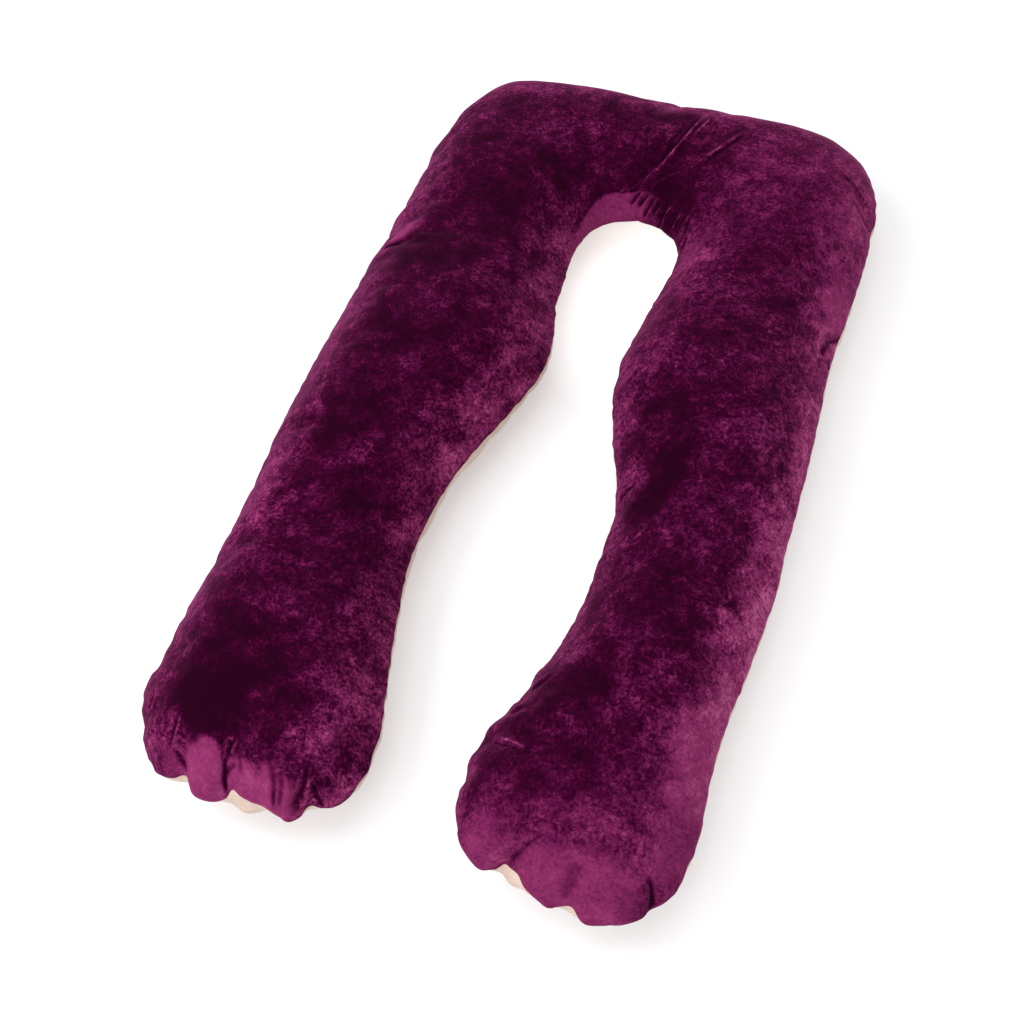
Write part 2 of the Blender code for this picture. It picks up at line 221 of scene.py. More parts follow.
CREASES = [
    # across the head, fanning out from the arch
    Crease(0.065, 0.600, 0.059, 0.490, 0.016, 0.443, 0.0034, 0.0034, 0.0030),
    Crease(0.085, 0.614, 0.079, 0.560, 0.060, 0.519, 0.0034, 0.0026, 0.0016),
    Crease(0.038, 0.548, 0.029, 0.497, 0.023, 0.472, 0.0032, 0.0010, -0.0022),
    Crease(0.137, 0.550, 0.112, 0.499, 0.068, 0.459, 0.0034, 0.0028, -0.0022),
    Crease(0.068, 0.459, 0.040, 0.444, 0.016, 0.427, 0.0036, 0.0014, 0.0022),
    Crease(0.015, 0.446, 0.004, 0.434, -0.012, 0.419, 0.0030, 0.0018, 0.0022),
    Crease(-0.015, 0.429, -0.018, 0.420, -0.025, 0.415, 0.0030, 0.0014, 0.0016),
    Crease(0.019, 0.457, 0.014, 0.432, -0.001, 0.423, 0.0034, 0.0006, 0.0020),
    # short puckers down the wall of the arch
    Crease(0.012, 0.424, 0.005, 0.416, -0.002, 0.406, 0.0030, 0.0020, 0.0030),
    Crease(0.025, 0.422, 0.018, 0.418, 0.011, 0.407, 0.0032, 0.0024, 0.0044),
    Crease(0.036, 0.420, 0.028, 0.410, 0.019, 0.399, 0.0030, 0.0020, 0.0034),
    Crease(0.048, 0.416, 0.040, 0.406, 0.034, 0.401, 0.0034, 0.0026, 0.0044),
    Crease(0.062, 0.412, 0.054, 0.404, 0.049, 0.392, 0.0030, 0.0026, 0.0030),
    Crease(0.078, 0.400, 0.072, 0.392, 0.066, 0.380, 0.0032, 0.0020, 0.0028),
    # the right arm inner edge by the arch
    Crease(0.095, 0.396, 0.086, 0.388, 0.086, 0.358, 0.0034, 0.0016, -0.0018),
    Crease(0.098, 0.368, 0.089, 0.363, 0.092, 0.337, 0.0030, 0.0014, -0.0016),
    # along the left corner of the head
    Crease(-0.279, 0.526, -0.314, 0.500, -0.328, 0.436, 0.0040, 0.0014, 0.0014),
    Crease(-0.288, 0.479, -0.301, 0.464, -0.311, 0.419, 0.0040, 0.0010, 0.0010),
    # right shoulder
    Crease(0.235, 0.437, 0.248, 0.424, 0.267, 0.415, 0.0036, 0.0012, 0.0012),
    Crease(0.317, 0.472, 0.336, 0.461, 0.355, 0.458, 0.0040, 0.0012, 0.0008),
    Crease(0.287, 0.506, 0.309, 0.498, 0.325, 0.495, 0.0040, 0.0010, 0.0006),
    Crease(0.327, 0.210, 0.342, 0.236, 0.354, 0.260, 0.0036, 0.0020, 0.0024),
    Crease(0.339, 0.182, 0.343, 0.197, 0.347, 0.226, 0.0036, 0.0016, -0.0020),
    # right arm inner side
    Crease(0.078, 0.056, 0.092, 0.058, 0.108, 0.077, 0.0030, 0.0010, 0.0010),
    Crease(0.075, 0.082, 0.084, 0.092, 0.096, 0.097, 0.0030, 0.0008, 0.0008),
    Crease(0.133, -0.067, 0.141, -0.066, 0.151, -0.056, 0.0030, 0.0012, 0.0012),
    Crease(0.133, -0.114, 0.142, -0.106, 0.157, -0.089, 0.0030, 0.0012, 0.0012),
    Crease(0.187, -0.178, 0.182, -0.187, 0.177, -0.196, 0.0030, 0.0010, 0.0010),
    Crease(0.104, -0.015, 0.100, -0.006, 0.124, -0.008, 0.0030, 0.0008, 0.0008),
    # pinch in the left arm outer side
    Crease(-0.334, 0.216, -0.318, 0.206, -0.292, 0.214, 0.0044, 0.0026, 0.0032),
    # left foot
    Crease(-0.265, -0.578, -0.260, -0.600, -0.267, -0.622, 0.0032, 0.0024, 0.0018),
    Crease(-0.267, -0.621, -0.255, -0.623, -0.248, -0.636, 0.0032, 0.0026, -0.0018),
    Crease(-0.315, -0.560, -0.315, -0.571, -0.321, -0.582, 0.0032, 0.0012, 0.0012),
    Crease(-0.302, -0.587, -0.301, -0.596, -0.301, -0.604, 0.0032, 0.0010, 0.0010),
    Crease(-0.292, -0.605, -0.300, -0.609, -0.312, -0.618, 0.0032, 0.0014, 0.0014),
    Crease(-0.200, -0.593, -0.194, -0.599, -0.197, -0.612, 0.0030, 0.0022, -0.0024),
    Crease(-0.183, -0.587, -0.187, -0.599, -0.192, -0.609, 0.0030, 0.0018, 0.0018),
    Crease(-0.184, -0.608, -0.189, -0.613, -0.196, -0.622, 0.0030, 0.0018, -0.0014),
    Crease(-0.189, -0.610, -0.190, -0.626, -0.184, -0.640, 0.0034, 0.0004, 0.0034),
    Crease(-0.178, -0.591, -0.172, -0.602, -0.165, -0.621, 0.0046, 0.0016, 0.0012),
    Crease(-0.150, -0.601, -0.135, -0.611, -0.133, -0.638, 0.0046, 0.0014, -0.0014),
    Crease(-0.124, -0.623, -0.122, -0.630, -0.122, -0.641, 0.0036, 0.0004, 0.0018),
    Crease(-0.117, -0.602, -0.108, -0.626, -0.113, -0.644, 0.0046, 0.0014, 0.0014),
    Crease(-0.095, -0.587, -0.087, -0.604, -0.099, -0.640, 0.0036, 0.0026, 0.0022),
    Crease(-0.085, -0.599, -0.081, -0.609, -0.069, -0.615, 0.0032, 0.0018, 0.0030),
    Crease(-0.074, -0.586, -0.070, -0.591, -0.066, -0.598, 0.0030, 0.0004, 0.0016),
    Crease(-0.055, -0.576, -0.050, -0.578, -0.050, -0.579, 0.0036, 0.0006, 0.0024),
    # right foot
    Crease(0.090, -0.486, 0.116, -0.490, 0.153, -0.506, 0.0036, 0.0024, 0.0026),
    Crease(0.113, -0.414, 0.123, -0.403, 0.135, -0.392, 0.0036, 0.0014, 0.0014),
    Crease(0.101, -0.455, 0.103, -0.440, 0.120, -0.438, 0.0036, 0.0014, 0.0014),
    Crease(0.114, -0.514, 0.113, -0.498, 0.127, -0.499, 0.0036, 0.0010, 0.0012),
    Crease(0.192, -0.584, 0.158, -0.600, 0.152, -0.619, 0.0029, 0.0012, -0.0015),
    Crease(0.252, -0.606, 0.247, -0.624, 0.240, -0.642, 0.0090, 0.0008, 0.0010),
    Crease(0.307, -0.593, 0.318, -0.604, 0.315, -0.619, 0.0034, 0.0020, -0.0026),
]

# Painted sheen on the walls, over the pile. It is lightest on walls that face one way, and painted
# shade darkens it again close to the seam.
# the way, seen from above, that the walls with the most painted sheen face
PAINTED_SHEEN_FACING = (0.62, -0.78)
PAINTED_WALL_SHEEN = 0.42
PAINTED_FACING_SHEEN = 0.26
WALL_PATCHES = 0.4          # the walls' painted sheen comes and goes by this share
WALL_PATCH_LENGTH = 0.06
STEEP_NORMAL, FLAT_NORMAL = 0.45, 0.95   # how far up the normals of a wall and of the top point
SEAM_NORMAL = 0.38          # and those of a wall where painted shade starts to darken it towards the seam
SHEEN_LEFT_AT_SEAM = 0.40           # this share of the painted sheen is left at the seam
RAGGED_EDGE = 0.008         # how far the border of a stroke wanders
RAGGED_LENGTH = 0.035       # and over about which length
FLAT_NEATER = 3             # it wanders this many times less where the pile is pressed flat
FULLY_FLAT = 0.72           # strokes of this strength and more press it quite flat
# Painted highlights along the crests of the creases, and painted shade in their furrows
CREST_SHARPNESS = 0.50      # in half-widths of the crease
PAINTED_CREST_HIGHLIGHT = 340.0         # painted highlight on a crest, for each metre of its height
CREST_SHARE, CREST_PATCHES = 0.7, 0.4   # how much of it there is, and how much that varies
CREST_PATCH_LENGTH = 0.012
PAINTED_FURROW_SHADE = 330.0         # painted shade in a furrow, for each metre of its depth
FURROW_SHADE = 0.8          # how far that reaches, in half-widths of the crease

# A band of painted sheen round the arch's wall, where the pile also lies smooth: it rises from the
# seam with a crisp upper edge. Above it the pile is left dark, as the painted wall sheen is mostly
# taken out, in a place that is given from x to x and from y to y.
ARCH_BAND_FROM_X = -0.080
ARCH_BAND_END_X = (0.010, 0.066)   # it fades out among the puckers
ARCH_BAND_LIGHT = 0.72
ARCH_BAND_Y = (0.255, 0.440)
ARCH_BAND_SLOPE = 0.25      # how much it rises, for each metre towards the head
ARCH_BAND_EDGE = 0.002
ARCH_DARK = ((-0.085, 0.110), (0.310, 0.480))
ARCH_DARK_CORE = 0.7        # it is evenly dark over this share of the way to its border
ARCH_DARK_SHARE = 0.9       # it loses this share of its painted sheen

# Patches in the velvet's colour: pile pressed flat or lighter, dark blotches of standing pile, and
# painted sheen and highlights. Each is an oval round a centre, turned by an angle from +X in
# degrees. Its border is soft at 1 and crisp near 0.
Stroke = namedtuple("Stroke", "x y length width turn strength softness")
SQUARED = 3                 # an oval at 2, and squarer above it

# Where the pile is pressed flat, so that it is light and smooth, with painted sheen on the walls
FLAT_PILE_AND_SHEEN = [
    # front of the left foot: one crisp patch, and softer ones beside it
    Stroke(-0.222, -0.633, 0.033, 0.029, 92, 0.86, 0.12),
    Stroke(-0.266, -0.632, 0.020, 0.016, 60, 0.60, 0.70),
    Stroke(-0.172, -0.634, 0.029, 0.019, 80, 0.92, 0.25),
    Stroke(-0.144, -0.636, 0.030, 0.017, 75, 0.88, 0.50),
    Stroke(-0.118, -0.638, 0.026, 0.015, 80, 0.80, 0.60),
    # front of the right foot
    Stroke(0.122, -0.602, 0.040, 0.026, 70, 0.66, 0.80),
    Stroke(0.336, -0.505, 0.130, 0.038, 94, 0.58, 0.70),
    Stroke(0.200, -0.565, 0.110, 0.060, 5, 0.30, 1.00),
    Stroke(0.232, -0.632, 0.094, 0.048, 2, 0.64, 0.35),
    # painted highlights over the pinch in the left arm, and above the puckers in the right arm's
    # outer side
    Stroke(-0.311, 0.220, 0.038, 0.015, 52, 0.92, 0.55),
    Stroke(0.343, 0.276, 0.050, 0.024, 92, 0.50, 0.35),
    # the right shoulder, faintly
    Stroke(0.240, 0.440, 0.150, 0.110, 100, 0.26, 1.00),
]

# Where it is light, but still tufted: lighter pile, and painted sheen along the walls and edges
LIGHT_PILE_AND_SHEEN = [
    # the feet
    Stroke(-0.080, -0.510, 0.080, 0.028, 80, 0.44, 1.00),
    Stroke(-0.095, -0.590, 0.040, 0.030, 80, 0.35, 1.00),
    Stroke(-0.310, -0.600, 0.030, 0.026, 60, 0.30, 1.00),
    Stroke(-0.330, -0.550, 0.050, 0.020, 75, 0.30, 1.00),
    Stroke(0.225, -0.575, 0.090, 0.040, 5, 0.46, 1.00),
    Stroke(0.318, -0.560, 0.060, 0.030, 110, 0.60, 1.00),
    # the right arm's outer side
    Stroke(0.338, -0.470, 0.070, 0.040, 95, 0.95, 0.90),
    Stroke(0.348, -0.370, 0.090, 0.034, 88, 1.00, 0.80),
    Stroke(0.356, -0.250, 0.100, 0.033, 88, 1.05, 0.80),
    Stroke(0.360, -0.120, 0.110, 0.030, 90, 0.95, 0.90),
    Stroke(0.358, 0.020, 0.110, 0.024, 90, 0.72, 0.90),
    Stroke(0.352, 0.140, 0.090, 0.026, 92, 0.72, 0.90),
    Stroke(0.348, 0.245, 0.080, 0.030, 90, 0.85, 0.60),
    Stroke(0.350, 0.345, 0.060, 0.028, 90, 0.55, 1.00),
    Stroke(0.334, 0.440, 0.070, 0.036, 95, 0.70, 1.00),
    # the right shoulder and the far edge of the head
    Stroke(0.310, 0.520, 0.060, 0.030, 150, 0.45, 1.00),
    Stroke(0.319, 0.491, 0.022, 0.010, 120, 0.66, 0.60),
    Stroke(0.344, 0.463, 0.024, 0.010, 115, 0.70, 0.60),
    Stroke(0.356, 0.430, 0.022, 0.008, 110, 0.66, 0.60),
    Stroke(0.260, 0.470, 0.080, 0.060, 120, 0.26, 1.00),
    Stroke(0.000, 0.600, 0.240, 0.022, 0, 0.45, 1.00),
    Stroke(-0.230, 0.590, 0.080, 0.030, 10, 0.45, 1.00),
    # the arms' inner sides
    Stroke(0.120, 0.280, 0.070, 0.026, 85, 0.50, 1.00),
    Stroke(0.120, 0.110, 0.080, 0.026, 92, 0.28, 1.00),
    Stroke(0.135, -0.250, 0.060, 0.020, 80, 0.35, 1.00),
    Stroke(-0.066, 0.069, 0.080, 0.024, 85, 0.45, 1.00),
    Stroke(-0.089, -0.080, 0.080, 0.024, 80, 0.40, 1.00),
    # the left arm's outer side
    Stroke(-0.325, 0.290, 0.060, 0.022, 90, 0.45, 1.00),
    Stroke(-0.330, 0.050, 0.120, 0.028, 88, 0.36, 1.00),
    Stroke(-0.318, -0.200, 0.140, 0.030, 92, 0.36, 1.00),
]

# Where it stands up and looks dark
DARK_BLOTCHES = [
    Stroke(-0.226, -0.540, 0.054, 0.046, 60, 1.15, 0.60),
    Stroke(-0.236, -0.480, 0.050, 0.040, 0, 0.75, 0.90),
    Stroke(-0.185, -0.545, 0.034, 0.026, 20, 0.35, 1.00),
    Stroke(-0.185, -0.250, 0.060, 0.045, 60, 0.45, 1.00),
    Stroke(-0.205, -0.080, 0.360, 0.090, 90, 0.25, 1.00),
    Stroke(-0.239, -0.120, 0.070, 0.045, 80, 0.55, 1.00),
    Stroke(-0.152, -0.198, 0.060, 0.040, 70, 0.55, 1.00),
    Stroke(-0.200, 0.020, 0.070, 0.045, 30, 0.50, 1.00),
    Stroke(-0.259, 0.185, 0.070, 0.050, 0, 0.60, 1.00),
    Stroke(-0.200, 0.300, 0.090, 0.060, 60, 0.45, 1.00),
    Stroke(-0.116, 0.406, 0.060, 0.045, 30, 0.55, 1.00),
    Stroke(0.000, 0.460, 0.090, 0.040, 10, 0.40, 1.00),
    Stroke(0.060, 0.418, 0.040, 0.030, 150, 0.80, 0.80),
    Stroke(0.182, -0.110, 0.050, 0.026, 78, 1.15, 0.50),
    Stroke(0.172, -0.020, 0.060, 0.034, 90, 0.60, 1.00),
    Stroke(0.158, -0.512, 0.060, 0.045, 10, 0.82, 1.00),
    Stroke(0.172, -0.431, 0.060, 0.045, 60, 0.65, 1.00),
    Stroke(0.240, -0.270, 0.060, 0.045, 60, 0.35, 1.00),
    Stroke(0.230, 0.330, 0.090, 0.050, 70, 0.35, 1.00),
]

# The layers of a cloth's mottle: how fine each is, how it is made up, and its share in the tone
Mottle = namedtuple("Mottle", "scale detail roughness distortion share", defaults=[1])

# plum velvet
CLOUDS = Mottle(11.0, 2.0, 0.60, 0.0, 0.44)
PATCHES = Mottle(32.0, 3.0, 0.62, 0.0, 0.59)
FLECKS = Mottle(95.0, 2.0, 0.65, 0.8, 0.88)
HAIRS = Mottle(270.0, 1.0, 0.60, 0.6, 0.80)
PUSH_SCALE = 38.0           # hands pushed the patches and flecks about on this scale
PUSH_REACH = 0.020
PILE_TONE = 0.322           # the tone of the velvet before its mottle
# shares in the tone of the light pile with its painted sheen and highlights, and of the dark
# blotches with painted shade
LIGHT_SHARE, DARK_SHARE = 0.49, -0.28
FLAT_CALM = 0.72            # pile that is pressed flat loses this share of its mottle
TUFT_CONTRAST = (1.7, 0.25)  # times the tone, and at the least
PLUM_TONES = [
    (0.10, (0.015, 0.0001, 0.0070)),
    (0.27, (0.033, 0.0003, 0.0150)),
    (0.40, (0.065, 0.0028, 0.0315)),
    (0.55, (0.124, 0.0100, 0.0600)),
    (0.75, (0.224, 0.0260, 0.1060)),
    (1.00, (0.385, 0.0850, 0.2000)),
]
PILE_RELIEF = (0.5, 0.0025)
PILE_ROUGHNESS = (0.20, 0.75)    # times the hairs, and at the least
PLUM_SHEEN = (0.80, 0.17, 0.47, 1.0)

# cream cotton
YELLOWING = Mottle(14.0, 3.0, 0.50, 0.0, 0.60)
SLUBS = Mottle(260.0, 2.0, 0.50, 0.0, 0.40)
WRINKLES = Mottle(60.0, 3.0, 0.55, 0.0)
WEAVE_SCALE = 1250.0 / 6.28  # a thread every 1.6 mm
WEAVE_UNEVEN = 0.6
WEAVE_DEPTH = 0.10          # beside the wrinkles
CREAM_TONES = [
    (0.30, (0.54, 0.39, 0.32)),
    (0.50, (0.64, 0.49, 0.41)),
    (0.72, (0.72, 0.58, 0.51)),
]
COTTON_RELIEF = (0.5, 0.003)
COTTON_ROUGHNESS = (0.12, 0.82)  # times the slubs, and at the least

# The paper under the pillow glows softly and evenly, with a painted pool of light between the arms
PAPER_COLOUR = (0.62, 0.62, 0.64, 1)
PAPER_GLOW = 0.32
ARCH_GLOW = 0.60
ARCH_GLOW_CENTRE = (0.020, 0.350)
ARCH_GLOW_REACH = (0.140, 0.260)
PAPER_SIZE = 40
PAPER_GAP = 0.0004          # it lies this much below the cushion

# Soft lights that face the middle of the pillow: place, width and power in watts
SOFTBOXES = {
    "softbox_left": ((-2.1, -0.5, 2.6), 2.2, 58),
    "softbox_front": ((-0.6, -2.5, 2.2), 2.2, 31),
    "softbox_top": ((0.2, 0.1, 3.6), 2.2, 42),
}
ROOM_LIGHT = 0.65

# Camera: where it stands and how it is turned, found from the photograph's perspective
CAMERA_PLACE = (0.427, -1.026, 1.524)
CAMERA_LOOKS_DOWN = 56.3    # in degrees, and the next two
CAMERA_YAW = -26.3
CAMERA_ROLL = -8.3
CAMERA_LENS = 45.7
CAMERA_SENSOR = 36.0
CAMERA_FAR = 100


# ---------------------------------------------------------------- helpers

def deselect_all():
    bpy.ops.object.select_all(action="DESELECT")


def make_active(piece):
    deselect_all()
    piece.select_set(True)
    bpy.context.view_layer.objects.active = piece


def apply_modifier(piece, modifier):
    make_active(piece)
    bpy.ops.object.modifier_apply(modifier=modifier.name)


def rows_of(elements, label):
    """A value of each mesh element, as rows of x, y, z."""
    flat = np.empty(len(elements) * 3)
    elements.foreach_get(label, flat)
    return flat.reshape(-1, 3)


def points_of(piece):
    return rows_of(piece.data.vertices, "co")


def normals_of(piece):
    return rows_of(piece.data.vertices, "normal")


def put_points(piece, points):
    piece.data.vertices.foreach_set("co", points.ravel())
    piece.data.update()


def smooth_step(value, low, high):
    """0 below low, 1 above high, and an even rise between them."""
    t = np.clip((value - low) / (high - low), 0, 1)
    return t * t * (3 - 2 * t)


def waves(points, wavelength, seed):
    """Smooth seeded noise about 0: a sum of waves in all directions."""
    chance = np.random.default_rng(seed)
    total = np.zeros(len(points))
    for _ in range(WAVE_COUNT):
        direction = chance.normal(size=3)
        direction /= np.linalg.norm(direction)
        length = wavelength * chance.uniform(*WAVE_LENGTHS)
        start = chance.uniform(*WAVE_STARTS)
        total += np.sin(points @ direction * (2 * math.pi / length) + start)
    return total / math.sqrt(WAVE_COUNT)


# ---------------------------------------------------------------- the cushion's form

def whole_cushion():
    """Both CAD solids copied, joined at the seam and remeshed as one closed cushion."""
    deselect_all()
    copies = []
    for node in (TOP, UNDERSIDE):
        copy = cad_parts[node].copy()
        copy.data = copy.data.copy()
        copy.parent = None
        copy.matrix_world = Matrix.Identity(4)
        bpy.context.scene.collection.objects.link(copy)
        copy.select_set(True)
        copies.append(copy)
    bpy.context.view_layer.objects.active = copies[0]
    bpy.ops.object.join()
    cushion = copies[0]
    cushion.name = "cushion"
    cushion.data.materials.clear()

    bpy.ops.object.mode_set(mode="EDIT")
    bpy.ops.mesh.select_all(action="SELECT")
    bpy.ops.mesh.remove_doubles(threshold=WELD)
    bpy.ops.mesh.select_all(action="DESELECT")
    bpy.ops.object.mode_set(mode="OBJECT")
    heights = points_of(cushion)[:, 2]
    for face in cushion.data.polygons:
        face.select = all(abs(heights[v] - SEAM_Z) < WELD for v in face.vertices)
    bpy.ops.object.mode_set(mode="EDIT")
    bpy.ops.mesh.select_mode(type="FACE")
    bpy.ops.mesh.delete(type="FACE")
    bpy.ops.object.mode_set(mode="OBJECT")

    remesh = cushion.modifiers.new("remesh", "REMESH")
    remesh.mode = "VOXEL"
    remesh.voxel_size = VOXEL
    remesh.use_smooth_shade = True
    apply_modifier(cushion, remesh)
    return cushion


def held_points(points):
    """1 for points that the seam or the floor holds, 0 for free ones."""
    at_seam = 1 - smooth_step(np.abs(points[:, 2] - SEAM_Z), SEAM_HOLD, 2 * SEAM_HOLD)
    on_floor = points[:, 2] < FLOOR_Z + FLOOR_HOLD
    return np.maximum(at_seam, on_floor)


def puff_up(cushion):
    """The filling swells the cover, which is held at its seam and lies on the floor."""
    start = points_of(cushion)
    held = held_points(start)
    slack = start - normals_of(cushion) * (SLACK * (1 - held))[:, None]
    put_points(cushion, slack)

    group = cushion.vertex_groups.new(name="held")
    for index in np.nonzero(held > BARELY_HELD)[0]:
        group.add([int(index)], float(held[index]), "REPLACE")
    cloth = cushion.modifiers.new("cloth", "CLOTH")
    cloth.settings.quality = 5
    cloth.settings.mass = 0.4
    cloth.settings.tension_stiffness = 15
    cloth.settings.compression_stiffness = 15
    cloth.settings.shear_stiffness = 5
    cloth.settings.bending_stiffness = 0.3
    cloth.settings.use_pressure = True
    cloth.settings.uniform_pressure_force = PRESSURE
    cloth.settings.shrink_min = CLOTH_SHRINK
    cloth.settings.vertex_group_mass = group.name
    cloth.settings.effector_weights.gravity = 0
    cloth.collision_settings.use_collision = False
    cloth.collision_settings.use_self_collision = False
    cloth.point_cache.frame_end = LAST_FRAME
    for number in range(1, LAST_FRAME + 1):
        bpy.context.scene.frame_set(number)
    apply_modifier(cushion, cloth)
    bpy.context.scene.frame_set(1)
    cushion.vertex_groups.clear()

    move = points_of(cushion) - start
    length = np.linalg.norm(move, axis=1)
    share = PUFF_CAP / np.maximum(length, PUFF_CAP)
    puffed = start + move * share[:, None]
    puffed[:, 2] = np.maximum(puffed[:, 2], FLOOR_Z)
    put_points(cushion, puffed)


def subdivide(piece):
    """Every face in four, rounded."""
    finer = piece.modifiers.new("finer", "SUBSURF")
    finer.levels = finer.render_levels = 1
    apply_modifier(piece, finer)


def across_crease(points, crease):
    """Which points a crease reaches, how many half-widths to its right they lie, how near its
    line they are in half-widths, and how strong it is there."""
    t = np.linspace(0, 1, CREASE_STEPS)[:, None]
    ends = np.array([[crease.from_x, crease.from_y], [crease.to_x, crease.to_y]])
    bend = np.array([crease.bend_x, crease.bend_y])
    line = (1 - t) ** 2 * ends[0] + 2 * t * (1 - t) * bend + t ** 2 * ends[1]
    reach = CREASE_REACH * crease.half_width
    low, high = line.min(0) - reach, line.max(0) + reach
    near = np.nonzero(((points[:, :2] > low) & (points[:, :2] < high)).all(1)
                      & (points[:, 2] > SEAM_Z - CREASE_LOWEST))[0]
    place = points[near, :2]
    distance = np.full(len(near), np.inf)
    side, along = np.zeros(len(near)), np.zeros(len(near))
    for index in range(CREASE_STEPS - 1):
        run = line[index + 1] - line[index]
        out = place - line[index]
        u = np.clip(out @ run / (run @ run), 0, 1)
        here = np.linalg.norm(out - u[:, None] * run, axis=1)
        closer = here < distance
        distance[closer] = here[closer]
        side[closer] = np.sign(run[1] * out[:, 0] - run[0] * out[:, 1])[closer]
        along[closer] = ((index + u) / (CREASE_STEPS - 1))[closer]
    strength = smooth_step(np.minimum(along, 1 - along), *CREASE_TAPER)
    return near, side * distance / crease.half_width, distance / crease.half_width, strength


def refine_creases(cushion):
    """Splits the faces round every crease further, so that its crest stays sharp."""
    make_active(cushion)
    for reach in FINE_REACHES:
        centres = rows_of(cushion.data.polygons, "center")
        chosen = np.zeros(len(centres), bool)
        for crease in CREASES:
            near, _, away, _ = across_crease(centres, crease)
            chosen[near[away < reach]] = True
        bpy.ops.object.mode_set(mode="EDIT")
        bpy.ops.mesh.select_mode(type="FACE")
        bpy.ops.mesh.select_all(action="DESELECT")
        bpy.ops.object.mode_set(mode="OBJECT")
        cushion.data.polygons.foreach_set("select", chosen)
        bpy.ops.object.mode_set(mode="EDIT")
        bpy.ops.mesh.subdivide(number_cuts=1)
        bpy.ops.object.mode_set(mode="OBJECT")


def work_creases(cushion):
    """Lifts the crest of every crease and presses the furrow beside it in."""
    points, normals = points_of(cushion), normals_of(cushion)
    lift = np.zeros(len(points))
    for crease in CREASES:
        near, right, away, strength = across_crease(points, crease)
        beside = right * math.copysign(1, crease.furrow) - FURROW_PLACE
        lift[near] += strength * (crease.crest * np.exp(-away ** 2)
                                  - abs(crease.furrow) * np.exp(-beside ** 2))
    lift *= smooth_step(points[:, 2] - seam_height(points), 0, CREASE_FADE)
    on_wall = 1 - smooth_step(normals[:, 2], *WALL_NORMAL)
    lift *= 1 - on_wall * smooth_step(points[:, 1], *FEET_END_Y)
    put_points(cushion, points + normals * lift[:, None])


def fill_out_walls(cushion):
    """The filling packs tight against the walls, and the underside turns in below the arch and
    the feet."""
    points, normals = points_of(cushion), normals_of(cushion)
    outward = normals * (1, 1, 0)
    outward *= (EDGE_FULLNESS * np.exp(-((points[:, 2] - SEAM_Z) / EDGE_REACH) ** 2))[:, None]
    below_seam = np.clip((SEAM_Z - points[:, 2]) / (SEAM_Z - FLOOR_Z), 0, 1)
    low = below_seam ** TUCK_CURVE
    underside = smooth_step(low, 0, UNDERSIDE_FADE)
    for places, share_of_height in ((EDGE_SHAPE, 1), (UNDERSIDE_SHAPE, underside)):
        for place in places:
            off = (points - (place.x, place.y, place.z)) / (1, 1, FULLNESS_TALL)
            share = share_of_height * np.exp(-np.sum(off ** 2, axis=1) / place.half_width ** 2)
            outward += normals * (1, 1, 0) * (place.out * share)[:, None]
    away = points[:, :2] - np.array(ARCH_CENTRE)
    radius = np.linalg.norm(away, axis=1)
    arch = smooth_step(points[:, 1], *ARCH_TUCK_Y) * (1 - smooth_step(radius, *ARCH_TUCK_REACH))
    outward[:, :2] += away * (ARCH_TUCK * low * arch / radius)[:, None]
    feet = 1 - smooth_step(points[:, 1], *FEET_TUCK_Y)
    belly = BELLY * np.sin(math.pi * below_seam) * (1 - arch) * (1 - feet)
    outward += normals * (1, 1, 0) * (belly - FEET_TUCK * low * feet)[:, None]
    put_points(cushion, points + outward)


def seam_height(points):
    """How high the seam runs at each point's place."""
    height = SEAM_Z + SEAM_WANDER * waves(points * (1, 1, 0), SEAM_WANDER_LENGTH, seed=5)
    for place in SEAM_LINE:
        off = (points[:, :2] - (place.x, place.y)) / (1, SEAM_RISE_LONG)
        height += place.rise * np.exp(-np.sum(off ** 2, axis=1) / place.half_width ** 2)
    return height


def draw_in_seam(cushion):
    """The stitches pull the seam in, and gather the cloth into small puckers beside it."""
    points, normals = points_of(cushion), normals_of(cushion)
    off_seam = np.abs(points[:, 2] - seam_height(points))
    valley = SEAM_VALLEY * np.exp(-(off_seam / SEAM_VALLEY_REACH) ** 2)
    gather = waves(points * (1, 1, GATHER_UPRIGHT), GATHER_SPACING, seed=3)
    gather *= GATHER_DEPTH * np.exp(-off_seam / GATHER_REACH)
    gather *= smooth_step(points[:, 2], FLOOR_Z + GATHER_END[0], FLOOR_Z + GATHER_END[1])
    flat = normals.copy()
    flat[:, 2] *= smooth_step(off_seam, 0, SEAM_VALLEY_REACH)
    put_points(cushion, points + flat * (gather - valley)[:, None])


def slide_heights(points, from_height, to_height):
    """Moves the points that lie at from_height to to_height, and those between it and the floor
    or the crown in proportion."""
    z = points[:, 2]
    below = FLOOR_Z + (z - FLOOR_Z) * (to_height - FLOOR_Z) / (from_height - FLOOR_Z)
    above = CROWN_Z + (z - CROWN_Z) * (to_height - CROWN_Z) / (from_height - CROWN_Z)
    slid = points.copy()
    slid[:, 2] = np.where(z < from_height, below, np.where(z < CROWN_Z, above, z))
    return slid


def part_at_seam(cushion, name, above):
    """The cushion's panel above or below the seam, closed where it was cut."""
    panel = cushion.copy()
    panel.data = cushion.data.copy()
    panel.name = panel.data.name = name
    bpy.context.scene.collection.objects.link(panel)
    make_active(panel)
    points = points_of(panel)
    put_points(panel, slide_heights(points, seam_height(points), SEAM_Z))
    bpy.ops.object.mode_set(mode="EDIT")
    bpy.ops.mesh.select_all(action="SELECT")
    bpy.ops.mesh.bisect(
        plane_co=(0, 0, SEAM_Z), plane_no=(0, 0, 1), use_fill=True,
        clear_inner=above, clear_outer=not above,
    )
    bpy.ops.object.mode_set(mode="OBJECT")
    points = points_of(panel)
    put_points(panel, slide_heights(points, SEAM_Z, seam_height(points)))
    bpy.ops.object.shade_smooth_by_angle(angle=math.radians(SMOOTH_ANGLE))
    return panel


